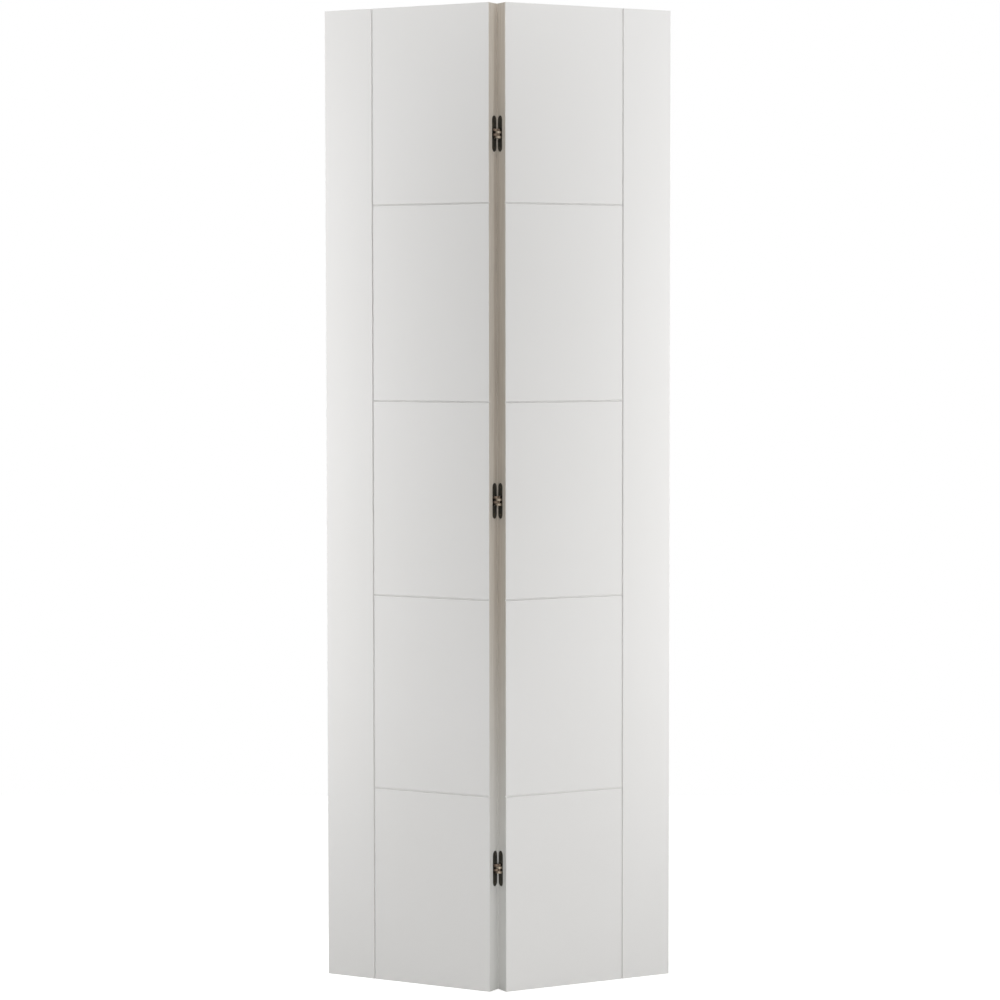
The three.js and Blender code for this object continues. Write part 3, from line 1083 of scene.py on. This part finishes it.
@dataclass
class Studio:
    """The camera, the lamps, the white surroundings and the pale floor."""

    eye_mm: tuple[float, float, float] = (48.1, -6302.8, 1343.4)
    yaw: float = math.radians(0.397)
    pitch: float = math.radians(-3.232)
    roll: float = math.radians(-0.06)
    focal_share: float = 3.1073
    sensor_mm: float = 36.0
    sight_m: float = 40.0
    floor_size_m: float = 5.0
    floor_colour: str = "D2D2D0"
    floor_roughness: float = 0.9
    floor_glow: float = 0.74
    ambient: float = 0.31
    # Each lamp's name, place, target, width, height and watts
    lamps: tuple[SoftBox, ...] = (
        SoftBox("left strip box", (-1.15, -0.1, 1.2), (-0.35, 0.1, 1.2), 0.25, 1.9, 9.5),
        SoftBox("right strip box", (1.15, -0.1, 1.2), (0.35, 0.1, 1.2), 0.25, 1.9, 7.5),
        SoftBox("side soft box", (2.6, -2.2, 1.3), (0.2, 0.0, 1.2), 1.0, 2.0, 12.5),
        SoftBox("front soft box", (0.4, -6.5, 1.5), (0.0, 0.0, 1.1), 2.4, 1.8, 36.0),
        SoftBox("top strip box", (0.0, -0.45, 2.5), (0.0, -0.05, 1.7), 1.2, 0.4, 3.3),
        SoftBox("foot strip box", (0.1, -1.3, 0.2), (0.0, 0.0, 0.05), 0.6, 0.2, 2.3),
        SoftBox("foot corner box", (1.2, -1.3, 0.25), (0.15, 0.0, 0.05), 0.8, 0.3, 0.9),
        SoftBox("back soft box", (0.0, 6.5, 1.5), (0.0, 0.0, 1.1), 2.4, 1.8, 150.0),
    )

    def build(self) -> None:
        """Sets up the studio and the colour management."""
        self._camera()
        self._world()
        self._floor()
        for lamp in self.lamps:
            lamp.build()
        bpy.context.scene.view_settings.view_transform = "Standard"
        LOG.info("studio: camera, floor and %d lamps", len(self.lamps))

    def _camera(self) -> None:
        """Places the camera where the photograph was taken from."""
        data = bpy.data.cameras.new("photograph camera")
        data.sensor_width = self.sensor_mm
        data.lens = self.focal_share * self.sensor_mm
        data.clip_end = self.sight_m
        camera = bpy.data.objects.new("photograph camera", data)
        place = Matrix.Translation(Vector(self.eye_mm) * MM)
        level = Matrix.Rotation(self.yaw, 4, "Z") @ Matrix.Rotation(math.pi / 2 + self.pitch, 4, "X")
        camera.matrix_world = place @ level @ Matrix.Rotation(self.roll, 4, "Z")
        bpy.context.scene.collection.objects.link(camera)
        bpy.context.scene.camera = camera

    def _world(self) -> None:
        """Lights the room evenly, and shows it white to the camera and in reflections."""
        world = bpy.data.worlds.new("white studio")
        world.use_nodes = True
        tree = world.node_tree
        path = add_node(tree, "ShaderNodeLightPath")
        seen = add_node(
            tree,
            "ShaderNodeMath",
            {"operation": "MAXIMUM"},
            {0: path.outputs["Is Camera Ray"], 1: path.outputs["Is Glossy Ray"]},
        )
        level = add_node(
            tree,
            "ShaderNodeMapRange",
            None,
            {"Value": seen.outputs[0], "To Min": self.ambient, "To Max": 1.0},
        )
        background = next(node for node in tree.nodes if node.type == "BACKGROUND")
        background.inputs["Color"].default_value = linear(WHITE)
        tree.links.new(level.outputs["Result"], background.inputs["Strength"])
        bpy.context.scene.world = world

    def _floor(self) -> None:
        """Lays a pale floor that keeps the door's shadow and is white to the camera elsewhere.

        It is matt paint, which gives no gloss, so only the shadow shows on it.
        """
        material, tree, shader, _ = new_material("matt paint on a studio floor")
        shader.inputs["Base Color"].default_value = linear(self.floor_colour)
        shader.inputs["Roughness"].default_value = self.floor_roughness
        shader.inputs["Specular IOR Level"].default_value = 0.0
        shader.inputs["Emission Color"].default_value = linear(WHITE)
        path = add_node(tree, "ShaderNodeLightPath")
        glow = add_node(
            tree,
            "ShaderNodeMath",
            {"operation": "MULTIPLY"},
            {0: path.outputs["Is Camera Ray"], 1: self.floor_glow},
        )
        tree.links.new(glow.outputs[0], shader.inputs["Emission Strength"])
        floor = bmesh.new()
        bmesh.ops.create_grid(floor, x_segments=1, y_segments=1, size=self.floor_size_m / 2)
        plane = loose_object(floor, "studio_floor")
        plane.data.materials.append(material)


def main() -> None:
    """Builds the door's pieces and the studio in order."""
    logging.basicConfig(level=logging.INFO, format="%(name)s: %(message)s")
    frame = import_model()
    Studio().build()
    finishes = Finishes.build()
    for side in LeafSide:
        Leaf(LeafPlan(side), frame["nodes"], finishes).build()
    for place in HingePlace:
        ConcealedHinge(place, frame["nodes"], finishes).build()


if __name__ == "__main__":
    main()
